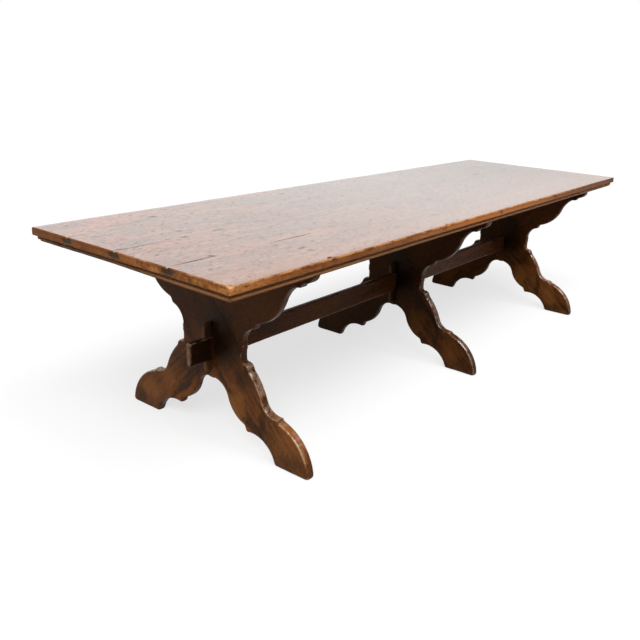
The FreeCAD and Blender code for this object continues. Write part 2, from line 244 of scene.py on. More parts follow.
def oldWood(look):
    material = emptyMaterial(look["name"])
    tree = material.node_tree
    place = addNode(tree, "ShaderNodeTexCoord", {}).outputs["Object"]
    turn = [math.radians(angle) for angle in look["grainTurn"]]
    # each plank of the top is cut from another board
    lie = {"Vector": place, "Rotation": turn, "Location": attribute(tree, "grainShift")}
    along = addNode(tree, "ShaderNodeMapping", lie).outputs[0]
    grain = drawGrain(tree, along, look)
    patchy = cloud(tree, place, look["patchScale"])

    wood = blendColour(tree, grainTone(tree, grain, look), look["dark"], look["pale"])
    masks = {}
    for pattern, start, full, share, tint in tintLayers:
        masks[pattern] = remap(tree, grain[pattern], start, full, 0.0, look[share])
        wood = blendColour(tree, masks[pattern], wood, look[tint])

    # slow changes of tone along one axis, some of them painted shade and painted light
    apart = addNode(tree, "ShaderNodeSeparateXYZ", {"Vector": place})
    for axis, low, high, share, tint in look["zones"]:
        blur = look["zoneBlur"] * (high - low)
        uneven = calc(tree, "MULTIPLY_ADD", grain["patch"], blur, apart.outputs[axis])
        uneven = calc(tree, "ADD", uneven, -0.5 * blur)
        wood = blendColour(tree, remap(tree, uneven, low, high, 0.0, share), wood, tint)

    if look["endShare"]:
        wood = blendColour(tree, endGrain(tree, turn, patchy, look), wood, look["endColour"])

    # patches, knots and open joints at their own places, of which the last set is dull
    hole = masks["pit"]
    for marks, markColour, shake, axes in look["markSets"]:
        mask = joinedMarks(tree, place, marks, shake, axes)
        wood = blendColour(tree, mask, wood, markColour)
        hole = calc(tree, "MAXIMUM", masks["pit"], mask)

    swing = look["roughSwing"]
    gloss = calc(tree, "MULTIPLY_ADD", grain["patch"], swing, look["rough"] - 0.5 * swing)
    gloss = calc(tree, "MULTIPLY_ADD", masks["pore"], look["poreRough"], gloss)
    coat = look["coat"]
    if coat:
        coat = calc(tree, "MULTIPLY", remap(tree, hole, *effectReach["holeCoat"]), coat)
    if look["coatFade"]:
        coat = calc(tree, "MULTIPLY", coat, remap(tree, apart.outputs[0], *look["coatFade"]))

    # worn arrises show paler, polished wood with a painted sheen where they face up; hollows, the undersides
    # of edges and the quirk of the strip keep old wax and dust with painted shade
    if look["wearAndSheenShare"]:
        spots = cloud(tree, place, look["wearAndSheenSpots"])
        spots = remap(tree, spots, *effectReach["wearAndSheenSpot"], look["wearAndSheenLeast"], 1.0)
        wearAndSheen = calc(tree, "MULTIPLY", attribute(tree, "wearAndSheen"), spots)
        wearAndSheen = remap(tree, wearAndSheen, *effectReach["wearAndSheen"])
        wornAndSheen = calc(tree, "MULTIPLY", wearAndSheen, look["wearAndSheenShare"])
        wood = blendColour(tree, wornAndSheen, wood, look["wearAndSheenColour"])
        grimeAndShade = remap(tree, attribute(tree, "grimeAndShade"), *effectReach["grimeAndShade"], 0.0, look["grimeAndShadeShare"])
        wood = blendColour(tree, grimeAndShade, wood, look["grimeAndShadeColour"])
        if look["wearCoat"]:
            coat = calc(tree, "MULTIPLY_ADD", wearAndSheen, look["wearCoat"], coat)

    # painted shade: the pieces under the top are darker; the planks differ a little in tone
    wood = blendColour(tree, attribute(tree, "shade"), wood, grey(0.0))

    bump = woodRelief(tree, grain, masks, patchy, look)
    shaderInputs = {
        "Base Color": wood,
        "Roughness": gloss,
        "Normal": bump,
        "Coat Weight": coat,
        "Coat Roughness": look["coatRough"],
        "Coat IOR": look["coatIor"],
        "Specular IOR Level": look["specular"],
        "Specular Tint": look["specularTint"],
    }
    if look["coatUneven"]:
        shaderInputs["Coat Normal"] = bump
    shader = addNode(tree, "ShaderNodeBsdfPrincipled", shaderInputs)
    addNode(tree, "ShaderNodeOutputMaterial", {"Surface": shader.outputs[0]})
    return material


# what all the woods share, each finish changes what it needs
plainWood = {
    "grainTurn": (0.0, 0.0, 0.0),
    "figureStretch": (1.4, 14.0, 14.0),
    "bandStretch": (1.1, 34.0, 34.0),
    "streakStretch": (1.8, 30.0, 30.0),
    "fibreStretch": (11.0, 420.0, 420.0),
    "poreStretch": (26.0, 520.0, 520.0),
    "pitStretch": (46.0, 150.0, 150.0),
    "patchStretch": (1.6, 5.5, 5.5),
    "stainStretch": (2.6, 6.0, 6.0),
    "gritStretch": (60.0, 110.0, 110.0),
    "patchScale": 24.0,
    "bandShare": 1.0,
    "figureShare": 0.6,
    "fibreShare": 0.35,
    "toneSpread": 0.42,
    "warmShare": 0.5,
    "stainShare": 0.4,
    "gold": colour(150, 98, 46),
    "goldShare": 0.0,
    "streak": colour(30, 17, 9),
    "streakShare": 0.0,
    "poreShare": 0.5,
    "pitShare": 0.0,
    "gritShare": 0.0,
    # axis, from, to, share at the end, colour
    "zones": (),
    "zoneBlur": 0.5,
    "endShare": 0.0,
    "wearAndSheenShare": 0.7,
    "wearAndSheenSpots": 24.0,
    "wearAndSheenLeast": 0.25,
    "wearCoat": 0.0,
    "grimeAndShadeShare": 0.6,
    "grimeAndShadeColour": colour(22, 13, 8),
    # marks, colour, wobble, the two axes they spread along
    "markSets": (),
    "rough": 0.42,
    "roughSwing": 0.2,
    "poreRough": 0.25,
    "bump": 0.25,
    "coat": 0.0,
    "coatRough": 0.3,
    "coatIor": 1.5,
    "coatUneven": False,
    # from x to x, share of the polish at each
    "coatFade": (),
    "specular": 0.5,
    "specularTint": (1.0, 1.0, 1.0, 1.0),
}

# places on the top: x, y, half length, half width, depth of tone
topPatches = (
    (-1.110, 0.160, 0.130, 0.034, 0.60),
    (-1.000, 0.205, 0.060, 0.018, 0.45),
    (-1.490, 0.157, 0.040, 0.018, 0.55),
    (-0.790, 0.440, 0.090, 0.034, 0.50),
    (-0.935, 0.070, 0.055, 0.017, 0.40),
    (-1.330, 0.173, 0.055, 0.022, 0.40),
    (-0.730, -0.300, 0.065, 0.016, 0.35),
    (-0.430, 0.030, 0.080, 0.018, 0.40),
    (-0.290, -0.137, 0.130, 0.020, 0.35),
    (0.070, 0.263, 0.100, 0.028, 0.40),
    (0.000, -0.275, 0.060, 0.017, 0.35),
    (-1.253, -0.280, 0.030, 0.014, 0.60),
    (-1.111, -0.178, 0.032, 0.015, 0.55),
)
topMarks = (
    (-1.512, 0.0290, 0.031, 0.0095, 0.95),
    (-1.437, -0.2265, 0.105, 0.0085, 0.94),
    (-1.004, -0.2260, 0.120, 0.0075, 0.70),
    (-1.410, 0.0210, 0.121, 0.0076, 0.62),
    (-1.360, -0.2190, 0.015, 0.0209, 0.94),
    (-1.459, -0.3250, 0.008, 0.0152, 0.69),
    (-1.430, -0.4480, 0.009, 0.0152, 0.62),
    (-1.087, -0.3400, 0.033, 0.0128, 0.70),
    (-1.082, -0.3760, 0.014, 0.0185, 0.61),
    (-1.103, 0.0300, 0.037, 0.0142, 0.69),
    (-1.134, 0.3470, 0.029, 0.0209, 0.75),
    (-1.217, 0.1030, 0.026, 0.0171, 0.62),
    (-1.260, 0.0230, 0.026, 0.0152, 0.75),
    (-0.398, 0.3800, 0.040, 0.0130, 0.70),
    (-0.640, 0.2730, 0.042, 0.0137, 0.55),
    (0.008, -0.1430, 0.040, 0.0115, 0.50),
    (-0.280, -0.3480, 0.058, 0.0105, 0.45),
    (-0.765, -0.2030, 0.035, 0.0157, 0.52),
    (-0.530, -0.2910, 0.051, 0.0114, 0.28),
    (0.495, 0.4130, 0.046, 0.0160, 0.50),
    (0.560, 0.3150, 0.042, 0.0140, 0.45),
    (0.930, 0.1100, 0.046, 0.0140, 0.50),
)
topWoodLook = {
    **plainWood,
    "name": "topWood",
    "figureStretch": (2.2, 8.0, 8.0),
    "bandStretch": (2.8, 24.0, 24.0),
    "dark": colour(112, 68, 47),
    "pale": colour(172, 122, 92),
    "warm": colour(184, 110, 78),
    "warmShare": 0.55,
    "stain": colour(100, 88, 86),
    "stainShare": 0.7,
    "poreColour": colour(62, 40, 34),
    "pitShare": 0.9,
    "streak": colour(84, 60, 52),
    "gold": colour(214, 166, 138),
    "gritStretch": (24.0, 64.0, 64.0),
    "gritShare": 0.42,
    "wearAndSheenColour": colour(214, 172, 144),
    "wearAndSheenShare": 0.4,
    "grimeAndShadeColour": colour(84, 56, 46),
    "grimeAndShadeShare": 0.14,
    "toneSpread": 0.34,
    "zones": (
        # painted sheen and shade: greyer along the top and darker towards its far end
        (0, -1.4, 0.1, 0.5, colour(136, 124, 116)),
        (0, 0.1, 1.4, 0.4, colour(96, 84, 77)),
        (1, 0.0, -0.45, 0.25, colour(196, 138, 110)),
    ),
    "markSets": (
        (topPatches, colour(108, 98, 98), 0.06, (0, 1)),
        (topMarks, colour(52, 32, 26), 0.008, (0, 1)),
    ),
    "rough": 0.36,
    "roughSwing": 0.16,
    "bump": 0.2,
    "coat": 1.0,
    "coatRough": 0.2,
    "coatIor": 1.62,
    "coatFade": (0.1, 1.5, 1.0, 0.8),
}

# the sides of the planks, darker and duller than the polished top
sideMarks = (
    (-1.107, 0.757, 0.020, 0.011, 0.85),
    (0.062, 0.752, 0.016, 0.012, 0.85),
    (-0.420, 0.750, 0.030, 0.008, 0.5),
    (-0.905, 0.756, 0.022, 0.007, 0.6),
    (0.660, 0.751, 0.040, 0.009, 0.5),
)
endMarks = (
    (-0.2265, 0.751, 0.046, 0.022, 0.95),
    (0.0215, 0.751, 0.042, 0.020, 0.90),
    (0.2680, 0.751, 0.038, 0.018, 0.85),
)
# painted highlights with some real wear along the top arris and at the corners of the sides
rubbedCornersAndHighlights = (
    (-1.528, 0.759, 0.007, 0.006, 0.45),
    (-1.486, 0.763, 0.022, 0.003, 0.55),
    (-1.404, 0.763, 0.028, 0.003, 0.45),
    (-1.270, 0.763, 0.026, 0.003, 0.45),
    (-1.160, 0.763, 0.022, 0.003, 0.40),
    (-0.850, 0.763, 0.034, 0.003, 0.35),
)
# painted highlights with some real wear along the top arris of the ends
rubbedEndsAndHighlights = (
    (-0.475, 0.759, 0.006, 0.006, 0.40),
    (-0.430, 0.763, 0.022, 0.003, 0.45),
    (-0.330, 0.763, 0.026, 0.003, 0.40),
    (-0.120, 0.763, 0.030, 0.003, 0.35),
)
plankSideLook = {
    **plainWood,
    "name": "plankSideWood",
    "figureStretch": (6.0, 14.0, 14.0),
    "bandStretch": (9.0, 34.0, 34.0),
    "streakStretch": (8.0, 30.0, 30.0),
    "dark": colour(150, 86, 42),
    "pale": colour(228, 154, 86),
    "warm": colour(222, 136, 68),
    "stain": colour(104, 58, 28),
    "stainShare": 0.75,
    "gold": colour(240, 172, 104),
    "goldShare": 0.45,
    "streak": colour(72, 37, 18),
    "streakShare": 0.75,
    "poreColour": colour(64, 36, 20),
    "gritShare": 0.9,
    "wearAndSheenColour": colour(228, 162, 100),
    "wearAndSheenShare": 0.9,
    "grimeAndShadeShare": 0.0,
    "toneSpread": 0.3,
    "zones": (
        (0, -1.56, -1.25, 0.68, colour(122, 66, 32)),
        (0, -0.9, -0.1, 0.58, colour(228, 136, 58)),
        (0, 0.1, 1.15, 0.8, colour(92, 48, 22)),
        (0, 1.40, 1.52, 0.6, colour(56, 32, 20)),
        # painted shade: darker towards the back
        (1, -0.3, 0.38, 0.78, colour(104, 54, 25)),
        (2, 0.750, 0.757, 0.45, colour(78, 41, 20)),
    ),
    "markSets": (
        (sideMarks, colour(52, 24, 14), 0.01, (0, 2)),
        (endMarks, colour(44, 28, 16), 0.01, (1, 2)),
        (rubbedCornersAndHighlights, colour(232, 184, 150), 0.008, (0, 2)),
        (rubbedEndsAndHighlights, colour(232, 180, 144), 0.008, (1, 2)),
    ),
    "rough": 0.5,
    "specular": 0.12,
    "endShare": 0.3,
    "endColour": colour(166, 100, 50),
    "specularTint": (1.0, 0.8, 0.6, 1.0),
}

edgeWoodLook = {
    **plainWood,
    "name": "edgeWood",
    "dark": colour(148, 84, 48),
    "pale": colour(226, 154, 102),
    "warm": colour(214, 134, 78),
    "stain": colour(88, 52, 28),
    "gold": colour(214, 146, 80),
    "goldShare": 0.4,
    "streak": colour(48, 26, 13),
    "streakShare": 0.5,
    "poreColour": colour(60, 36, 20),
    "wearAndSheenColour": colour(222, 158, 102),
    "wearAndSheenShare": 0.6,
    "gritShare": 0.4,
    "grimeAndShadeShare": 0.97,
    "grimeAndShadeColour": colour(24, 11, 4),
    "rough": 0.5,
    "specular": 0.12,
    "zones": (
        # painted light: the lower nose of the strip, which faces down, is paler
        (2, 0.730, 0.722, 0.55, colour(238, 168, 114)),
        (0, -0.6, 1.3, 0.25, colour(110, 64, 36)),
        # painted shade: darker towards the back
        (1, -0.3, 0.22, 0.85, colour(66, 39, 25)),
    ),
    "specularTint": (1.0, 0.8, 0.6, 1.0),
}

# places on the sides of a trestle: across, up, half sizes, depth of tone; the first two are the painted
# shadow of the key and tenon on the board
waxMarksAndKeyShadow = (
    (-0.044, 0.440, 0.096, 0.145, 0.86),
    (-0.053, 0.365, 0.114, 0.105, 0.90),
    (-0.150, 0.275, 0.050, 0.060, 0.60),
    (-0.253, 0.136, 0.026, 0.090, 0.60),
    (0.150, 0.250, 0.060, 0.050, 0.50),
    (0.420, 0.050, 0.050, 0.040, 0.40),
    (-0.400, 0.040, 0.060, 0.040, 0.35),
)
goldMarks = (
    (-0.133, 0.172, 0.060, 0.100, 0.75),
    (-0.105, 0.110, 0.050, 0.060, 0.65),
    (-0.330, 0.090, 0.060, 0.070, 0.30),
    (0.357, 0.090, 0.090, 0.070, 0.60),
    (0.240, 0.170, 0.060, 0.060, 0.50),
)
# painted shadow in the inner corners of the outline
cornerShadowMarks = (
    (-0.186, 0.313, 0.014, 0.0045, 0.85),
    (0.186, 0.313, 0.014, 0.0045, 0.85),
    (-0.323, 0.178, 0.010, 0.0040, 0.75),
    (0.323, 0.178, 0.010, 0.0040, 0.75),
)
trestleFrontLook = {
    **plainWood,
    "name": "trestleWoodLeaningBack",
    "grainTurn": (-45.0, 0.0, -90.0),
    "figureStretch": (3.0, 8.0, 8.0),
    "bandStretch": (3.4, 24.0, 24.0),
    "streakStretch": (4.0, 20.0, 20.0),
    "dark": colour(58, 31, 15),
    "pale": colour(150, 91, 48),
    "warm": colour(146, 81, 36),
    "stain": colour(40, 24, 13),
    "stainShare": 0.75,
    "gold": colour(166, 106, 46),
    "goldShare": 0.5,
    "streak": colour(32, 18, 9),
    "streakShare": 0.8,
    "poreColour": colour(34, 19, 10),
    "pitShare": 0.5,
    "gritStretch": (30.0, 70.0, 70.0),
    "gritShare": 0.35,
    "zones": (
        # painted reflection and light: the upper part greyer and paler
        (2, 0.34, 0.62, 0.6, colour(98, 72, 55)),
        (2, 0.12, 0.0, 0.4, colour(62, 37, 22)),
    ),
    "markSets": (
        (goldMarks, colour(162, 103, 50), 0.10, (1, 2)),
        (waxMarksAndKeyShadow, colour(20, 11, 6), 0.06, (1, 2)),
        (cornerShadowMarks, colour(20, 11, 6), 0.004, (1, 2)),
    ),
    "wearAndSheenColour": colour(200, 156, 122),
    "wearAndSheenShare": 0.68,
    "wearAndSheenSpots": 34.0,
    "wearAndSheenLeast": 0.3,
    "wearCoat": 1.0,
    "toneSpread": 0.34,
    "rough": 0.4,
    "bump": 0.55,
    "coatRough": 0.1,
    "coatIor": 1.85,
    "coatUneven": True,
    "specular": 0.1,
    "specularTint": (1.0, 0.65, 0.4, 1.0),
}

trestleRearLook = {
    **trestleFrontLook,
    "name": "trestleWoodLeaningForward",
    "grainTurn": (45.0, 0.0, -90.0),
    "zones": (
        # painted light: the upper part paler and warmer
        (2, 0.36, 0.60, 0.6, colour(170, 113, 76)),
        (2, 0.12, 0.0, 0.4, colour(62, 37, 22)),
    ),
}

bearerLook = {
    **trestleFrontLook,
    "name": "bearerWood",
    "grainTurn": (0.0, 0.0, -90.0),
    "zones": (),
    "markSets": (),
    "wearAndSheenShare": 0.35,
    "wearCoat": 0.1,
}

stretcherLook = {
    **trestleFrontLook,
    "name": "stretcherWood",
    "grainTurn": (0.0, 0.0, 0.0),
    "dark": colour(68, 38, 21),
    "pale": colour(150, 92, 54),
    "zones": (
        # painted shadow on the tenons at both ends
        (0, -1.15, -1.19, 0.92, colour(20, 9, 4)),
        (0, 1.15, 1.19, 0.92, colour(20, 9, 4)),
    ),
    "markSets": (),
    "wearCoat": 0.25,
    "endShare": 0.9,
    "endColour": colour(178, 128, 98),
}

keyLook = {
    **plainWood,
    "name": "keyWood",
    "grainTurn": (0.0, 90.0, 0.0),
    "dark": colour(64, 41, 20),
    "pale": colour(122, 84, 46),
    "warm": colour(116, 76, 38),
    "stain": colour(48, 31, 17),
    "poreColour": colour(40, 24, 12),
    "wearAndSheenColour": colour(164, 124, 80),
    "specular": 0.2,
    "specularTint": (1.0, 0.8, 0.5, 1.0),
}

tongueLook = {
    **plainWood,
    "name": "tongueWood",
    "dark": colour(44, 30, 15),
    "pale": colour(72, 52, 28),
    "warm": colour(66, 44, 22),
    "stain": colour(36, 25, 14),
    "poreColour": colour(28, 18, 9),
    "wearAndSheenShare": 0.0,
    "rough": 0.6,
    "specular": 0.2,
}

battenLook = {
    **trestleFrontLook,
    "name": "battenWood",
    "grainTurn": (0.0, 0.0, -90.0),
    "dark": colour(62, 42, 28),
    "pale": colour(112, 80, 56),
    "zones": (),
    "markSets": (),
    "wearAndSheenShare": 0.0,
}

pegLook = {
    **battenLook,
    "name": "pegWood",
    "grainTurn": (0.0, 90.0, 0.0),
}

ironLook = {
    "name": "nailIron",
    "dark": colour(38, 34, 32),
    "rust": colour(84, 52, 34),
    "rustScale": 140.0,
    "rustDetail": 5.0,
    "rustReach": (0.4, 0.62),
    # noise from, to, roughness from, to
    "roughReach": (0.3, 0.7, 0.45, 0.85),
    "metallic": 0.6,
    "bump": 0.5,
    "bumpDepth": 0.0006,
}


def oldIron(look):
    material = emptyMaterial(look["name"])
    tree = material.node_tree
    place = addNode(tree, "ShaderNodeTexCoord", {}).outputs["Object"]
    rust = cloud(tree, place, look["rustScale"], look["rustDetail"])
    iron = blendColour(tree, remap(tree, rust, *look["rustReach"]), look["dark"], look["rust"])
    gloss = remap(tree, rust, *look["roughReach"])
    bumpInputs = {"Height": rust, "Strength": look["bump"], "Distance": look["bumpDepth"]}
    bump = addNode(tree, "ShaderNodeBump", bumpInputs).outputs[0]
    inputs = {"Base Color": iron, "Roughness": gloss, "Metallic": look["metallic"], "Normal": bump}
    shader = addNode(tree, "ShaderNodeBsdfPrincipled", inputs)
    addNode(tree, "ShaderNodeOutputMaterial", {"Surface": shader.outputs[0]})
    return material


woodLooks = (
    topWoodLook, plankSideLook, edgeWoodLook, trestleFrontLook, trestleRearLook, bearerLook,
    stretcherLook, keyLook, tongueLook, battenLook, pegLook,
)
finishes = {look["name"]: oldWood(look) for look in woodLooks}
finishes[ironLook["name"]] = oldIron(ironLook)
print("finishes mixed:", len(finishes))


meshGap = {"merge": 0.00001, "cut": 0.000001}


def copyOfNode(name):
    work = bmesh.new()
    work.from_mesh(nodes[name].data)
    bmesh.ops.remove_doubles(work, verts=work.verts, dist=meshGap["merge"])
    return work


def voxelSkin(work, voxel):
    # an even skin of small faces, which can be smoothed and worn
    mesh = bpy.data.meshes.new("skin")
    work.to_mesh(mesh)
    work.free()
    holder = bpy.data.objects.new("skin", mesh)
    bpy.context.scene.collection.objects.link(holder)
    remesh = holder.modifiers.new("skin", "REMESH")
    remesh.mode = "VOXEL"
    remesh.voxel_size = voxel
    depsgraph = bpy.context.evaluated_depsgraph_get()
    result = bpy.data.meshes.new_from_object(holder.evaluated_get(depsgraph))
    bpy.data.objects.remove(holder)
    bpy.data.meshes.remove(mesh)
    skin = bmesh.new()
    skin.from_mesh(result)
    bpy.data.meshes.remove(result)
    return skin


crossing = {"height": 0.394, "up": 0.159, "down": 0.156, "side": 0.150, "margin": 1.07}


def inCrossing(spot):
    # the flat lozenge where the two boards of a trestle are halved into each other
    rise = spot.z - crossing["height"]
    reach = abs(rise) / (crossing["up"] if rise > 0.0 else crossing["down"]) + abs(spot.y) / crossing["side"]
    return reach < crossing["margin"]


def softened(work, verts, rounds):
    for _ in range(rounds):
        bmesh.ops.smooth_vert(work, verts=verts, factor=0.5,
                              use_axis_x=True, use_axis_y=True, use_axis_z=True)
    return [vert.co.copy() for vert in work.verts]


def shadeAt(spot, age):
    # painted shade: the foot, leg and arm of a trestle can be more or less dark, and its back foot more than
    # its front foot
    foot, leg, arm = age["shade"]
    footLevel, legLevel, armLevel = age["shadeLevels"]
    fromFoot = held((spot.z - footLevel) / (legLevel - footLevel))
    fromLeg = held((spot.z - legLevel) / (armLevel - legLevel))
    across = age["shadeAcross"] * spot.y * (1.0 - fromLeg)
    return foot + (leg - foot) * fromFoot + (arm - leg) * fromLeg + across


def ageSkin(work, age):
    # rounds the arrises unevenly and leaves the wear and painted sheen, the grime and painted shade, and the
    # painted shade of each place for the finish
    openVerts = [vert for vert in work.verts if not (age["halved"] and inCrossing(vert.co))]
    soft = softened(work, openVerts, age["softRounds"])
    work.normal_update()
    normals = [vert.normal.copy() for vert in work.verts]
    broad = softened(work, openVerts, age["broadRounds"])
    wearAndSheenLayer = work.verts.layers.float.new("wearAndSheen")
    grimeAndShadeLayer = work.verts.layers.float.new("grimeAndShade")
    shadeLayer = work.verts.layers.float.new("shade")
    for vert, near, far, normal in zip(work.verts, soft, broad, normals):
        rounding = far - near
        bulge = -rounding.dot(normal) / age["edgeDepth"]
        worn = held(bulge)
        # only the long arrises between face and edge are rubbed round, the steps of the outline stay
        faceward = abs(rounding[age["faceAxis"]]) / max(rounding.length, meshGap["merge"])
        arris = held(age["arrisGain"] * faceward)
        patch = 0.5 + 0.5 * noise.noise(near * age["patchScale"])
        loss = held(worn * (age["lossLeast"] + age["lossSwing"] * patch) * age["edgeLoss"]) * arris
        wave = noise.noise(near * age["waveScale"]) * age["wave"]
        ripple = noise.noise(near * age["rippleScale"]) * age["ripple"]
        lift = wave + ripple - age["inset"]
        if age["halved"] and inCrossing(near):
            lift = age["closing"] * (1.0 - normal.x * normal.x)
        vert.co = near + rounding * loss + normal * lift
        # painted light and shade: edges that face up get a painted sheen, edges that face down get painted
        # shade, and hollows old wax with painted shade
        edgeOn = 1.0 - abs(normal[age["faceAxis"]])
        upward = held(age["upLeast"] + age["upGain"] * normal.z)
        under = held(-age["underGain"] * normal.z)
        high = held(age["sheenLeast"] + near.z / age["sheenHeight"])
        bright = age["wornSheenLeast"] + (1.0 - age["wornSheenLeast"]) * upward
        vert[wearAndSheenLayer] = max(worn * bright, age["edgeSheen"] * edgeOn * upward * high)
        vert[grimeAndShadeLayer] = max(held(-age["hollowGrimeAndShadeGain"] * bulge), age["underShade"] * edgeOn * under)
        vert[shadeLayer] = shadeAt(near, age)


def addPiece(name, work, node, finish):
    mesh = bpy.data.meshes.new(name)
    work.to_mesh(mesh)
    work.free()
    mesh.polygons.foreach_set("use_smooth", [True] * len(mesh.polygons))
    piece = bpy.data.objects.new(name, mesh)
    bpy.context.scene.collection.objects.link(piece)
    mesh.materials.append(finishes[finish])
    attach(piece, bodyOfNode[node])
    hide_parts(node)
    return piece


trestleAge = {
    "voxel": 0.0035,
    "softRounds": 1,
    "broadRounds": 14,
    "edgeDepth": 0.0022,
    "edgeLoss": 1.1,
    "lossLeast": 0.5,
    "lossSwing": 0.7,
    "arrisGain": 2.0,
    "patchScale": 21.0,
    "wave": 0.0008,
    "waveScale": 9.0,
    "ripple": 0.0003,
    "rippleScale": 55.0,
    "inset": 0.0002,
    "closing": 0.0018,
    "faceAxis": 0,
    "upLeast": 0.35,
    "upGain": 0.8,
    "wornSheenLeast": 0.3,
    "edgeSheen": 0.6,
    "sheenLeast": 0.3,
    "sheenHeight": 0.3,
    "hollowGrimeAndShadeGain": 2.0,
    "underGain": 1.2,
    "underShade": 0.7,
    "halved": True,
    "shade": (0.0, 0.0, 0.0),
    "shadeLevels": (0.06, 0.2, 0.4),
    "shadeAcross": 0.0,
}
railAge = {**trestleAge, "halved": False, "broadRounds": 8, "edgeDepth": 0.0014, "edgeSheen": 0.0}
# painted shade: the bearers under the top are darker
bearerAge = {**railAge, "shade": (0.3, 0.3, 0.3)}
stretcherAge = {**railAge, "faceAxis": 1}
keyAge = {**railAge, "voxel": 0.0016, "edgeDepth": 0.0006, "wave": 0.0001, "ripple": 0.0001, "faceAxis": 1}


def agedPiece(node, finish, age):
    work = voxelSkin(copyOfNode(node), age["voxel"])
    ageSkin(work, age)
    return addPiece("worn_" + node, work, node, finish)


# the trestles are of the same wood, but the inner ones get painted shade, and the nearest has the finest skin
trestleShadeAndSkin = {
    "near": {"voxel": 0.0028},
    "middle": {"shade": (0.55, 0.68, 0.54), "shadeAcross": 0.3},
    "far": {"shade": (0.24, 0.2, 0.0)},
}
for place, tone in trestleShadeAndSkin.items():
    boardAge = {**trestleAge, **tone}
    agedPiece(place + "_trestle_front_board", "trestleWoodLeaningBack", boardAge)
    agedPiece(place + "_trestle_rear_board", "trestleWoodLeaningForward", boardAge)
    agedPiece(place + "_trestle_bearer", "bearerWood", bearerAge)
print("trestles worn")

agedPiece("stretcher", "stretcherWood", stretcherAge)
# painted shade: the keys are darker, most of all those at the middle trestle
keyShade = {"near_key": 0.1, "middle_near_key": 0.45, "middle_far_key": 0.45, "far_key": 0.2}
for key, shade in keyShade.items():
    agedPiece(key, "keyWood", {**keyAge, "shade": (shade, shade, shade)})
print("stretcher and keys worn")


# a height that no piece reaches
aboveAll = 9.0

plankAge = {
    "flatAngle": 1.0,
    "alongStep": 0.02,
    "acrossStep": 0.02,
    "arrisCuts": (0.005, 0.009, 0.014),
    "levelCuts": (0.742, 0.7485, 0.755, 0.7595),
    "wave": 0.0006,
    "waveScale": 4.0,
    "ripple": 0.0003,
    "rippleScale": 26.0,
    "sharpAngle": 55.0,
    # an edge that turns by this angle is a full arris
    "arrisTurn": 40.0,
    # the outer arrises wear, apart from those of the slots for the tongues
    "outerX": 1.515,
    "outerY": 0.461,
    "slotLow": 0.7385,
    "slotHigh": 0.7612,
    # a painted highlight band under the long arrises, laid in as wear, fainter from x to x
    "bandY": 0.479,
    "bandLow": 0.759,
    "bandHighlight": 0.6,
    "bandFade": (0.5, 1.4),
    "bandLoss": 0.7,
    "roundReach": 0.016,
    "roundDepth": 0.0010,
    "roundUneven": 0.6,
    "roundScale": 7.0,
    # the near front corner of the top hangs a little
    "cup": 0.0026,
    "cupX": -1.5,
    "cupReach": 0.8,
    "cupFrom": -0.2,
    "cupWidth": 0.27,
    "quirkLow": aboveAll,
    "quirkX": 1.518,
    "quirkY": 0.4645,
    "quirkShadeOutside": 0.12,
    # the strip below this height hangs more than the planks
    "sagBelow": 0.0,
    "sagFrom": 0.05,
    "sagWidth": 0.35,
    "sag": 0.003,
    "drop": 0.0022,
    "shade": 0.0,
    "grainShift": 0.0,
    "waveSeed": 5,
    # x, y, z, reach, depth of each chip in the arris
    "chips": (
        (-1.107, -0.481, 0.765, 0.016, 0.004),
        (-1.535, -0.481, 0.765, 0.020, 0.004),
        (-0.395, -0.481, 0.765, 0.012, 0.003),
        (0.338, -0.481, 0.765, 0.010, 0.002),
        (1.535, 0.120, 0.765, 0.016, 0.003),
        (0.520, 0.481, 0.765, 0.014, 0.003),
    ),
    "chipMargin": 0.01,
    "chipCuts": (-1.0, -0.6, -0.3, 0.0, 0.3, 0.6, 1.0),
    "chipInward": 0.6,
    "chipDown": 0.8,
}
# the strip hangs a little lower at one corner, and its quirk gets painted shade
stripAge = {
    **plankAge,
    "acrossStep": 0.0,
    "arrisCuts": (),
    "levelCuts": (),
    "outerX": 0.0,
    "outerY": 0.0,
    "slotLow": aboveAll,
    "quirkLow": 0.7325,
    "sagBelow": 0.7320,
    "roundDepth": 0.0,
    "cup": 0.0018,
    "chips": (),
}


# the joints of the top are open in some places and full of wax in others
seamLook = {
    "joints": (-0.225, 0.020, 0.270),
    "level": 0.765,
    "near": 0.0006,
    "depth": 0.0012,
    # joint, middle, half length
    "open": (
        (-0.225, -1.437, 0.100),
        (-0.225, -1.000, 0.130),
        (0.020, -1.470, 0.070),
        (0.270, -1.500, 0.030),
    ),
    "noiseAlong": 3.0,
    "noiseApart": 40.0,
    "chance": 0.3,
    "gain": 1.5,
    "shut": 0.2,
    # faces that look up at least this much have the finish of the top
    "topFacing": 0.9,
    "shutFacing": 0.5,
}


def seamOpening(spot):
    # None away from the joints, else how far the joint is open there
    sunk = seamLook["level"] - spot.z
    for joint in seamLook["joints"]:
        if abs(spot.y - joint) < seamLook["near"] and 0.0 < sunk < seamLook["depth"]:
            seed = Vector((spot.x * seamLook["noiseAlong"], joint * seamLook["noiseApart"], 0.0))
            opening = max(noise.noise(seed) - seamLook["chance"], 0.0)
            for place, middle, half in seamLook["open"]:
                if place == joint:
                    opening = max(opening, 1.0 - abs(spot.x - middle) / half)
            return held(seamLook["gain"] * opening)
    return None


def cutAcross(work, axis, place):
    normal = Vector((0.0, 0.0, 0.0))
    normal[axis] = 1.0
    geometry = work.verts[:] + work.edges[:] + work.faces[:]
    bmesh.ops.bisect_plane(work, geom=geometry, dist=meshGap["cut"], plane_co=normal * place, plane_no=normal)


